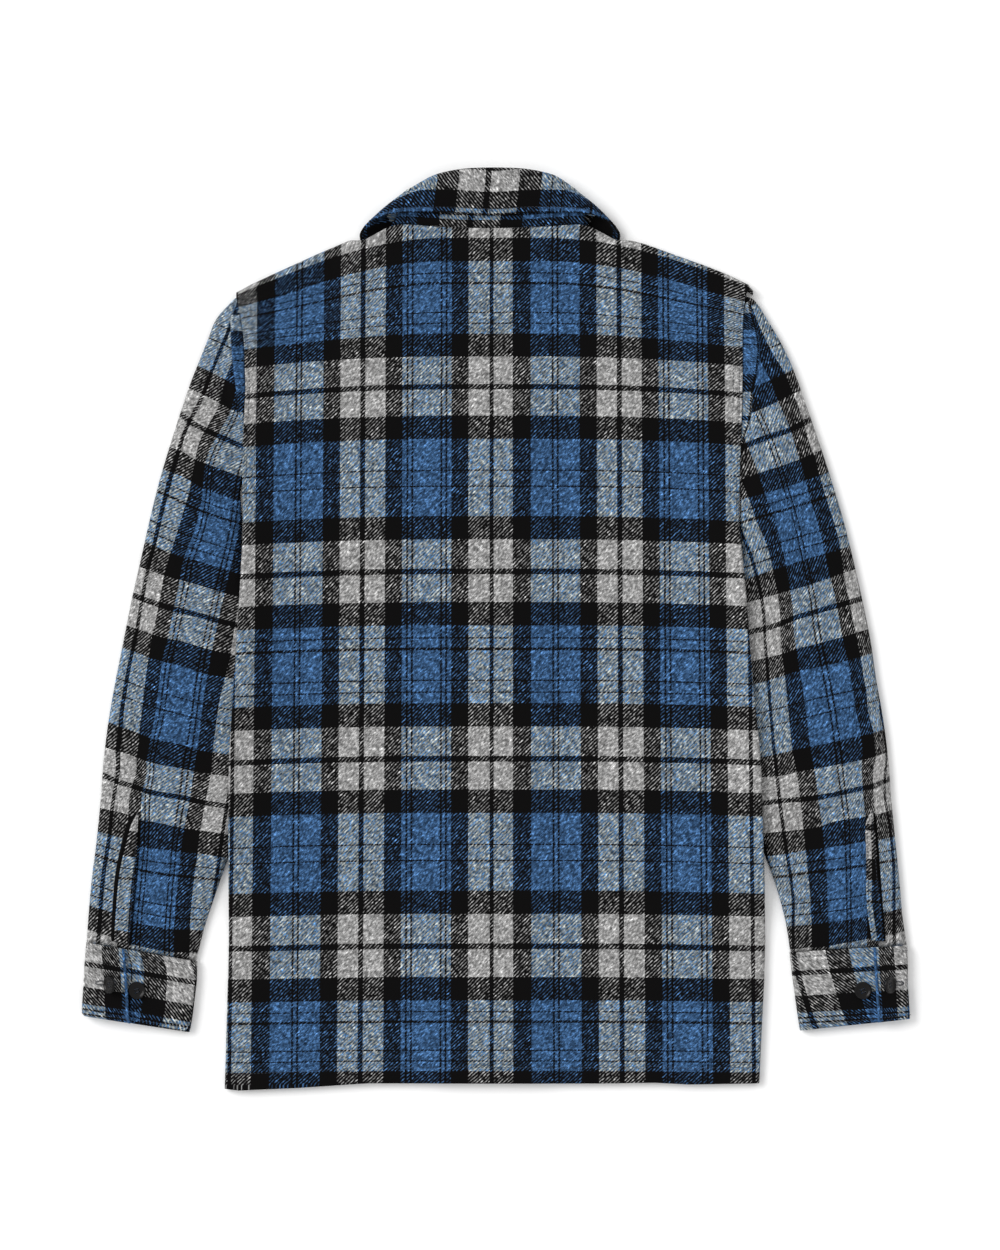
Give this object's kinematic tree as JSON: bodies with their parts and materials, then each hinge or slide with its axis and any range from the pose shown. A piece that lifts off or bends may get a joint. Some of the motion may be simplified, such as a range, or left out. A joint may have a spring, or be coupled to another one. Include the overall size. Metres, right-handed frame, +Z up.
{
  "type": "shirt jacket",
  "caption": "Plaid wool shirt jacket laid flat, face down and buttoned up, with a shirt collar and buttoned cuffs, its sleeves laid straight beside the body.",
  "frame": {"origin": "on the surface that the jacket lies on, under the middle of its outline", "axes": "+Y from the hem towards the collar, +X to the right as seen from above with the collar up, +Z up, out of the back panel"},
  "size_m": [0.7442, 0.8288, 0.0261],
  "materials": {
    "wool_body": "napped wool twill, black, blue and grey plaid",
    "wool_collar": "napped wool twill, the same plaid turned a quarter",
    "wool_cuff": "napped wool twill, the same plaid turned a quarter",
    "button": "polished, near black"
  },
  "bodies": {
    "root": {"back_panel": "wool_body", "front_left": "wool_body", "front_right": "wool_body", "sleeve_left": "wool_body", "sleeve_right": "wool_body", "sleeve_strip_left": "wool_body", "sleeve_strip_right": "wool_body", "collar_stand": "wool_collar", "collar_leaf": "wool_collar", "cuff_left": "wool_cuff", "cuff_right": "wool_cuff", "cuff_button_left": "button", "cuff_button_right": "button", "cuff_button_spare_left": "button", "cuff_button_spare_right": "button", "front_button_1": "button", "front_button_2": "button", "front_button_3": "button", "front_button_4": "button", "front_button_5": "button", "front_button_6": "button"}
  },
  "joints": []
}
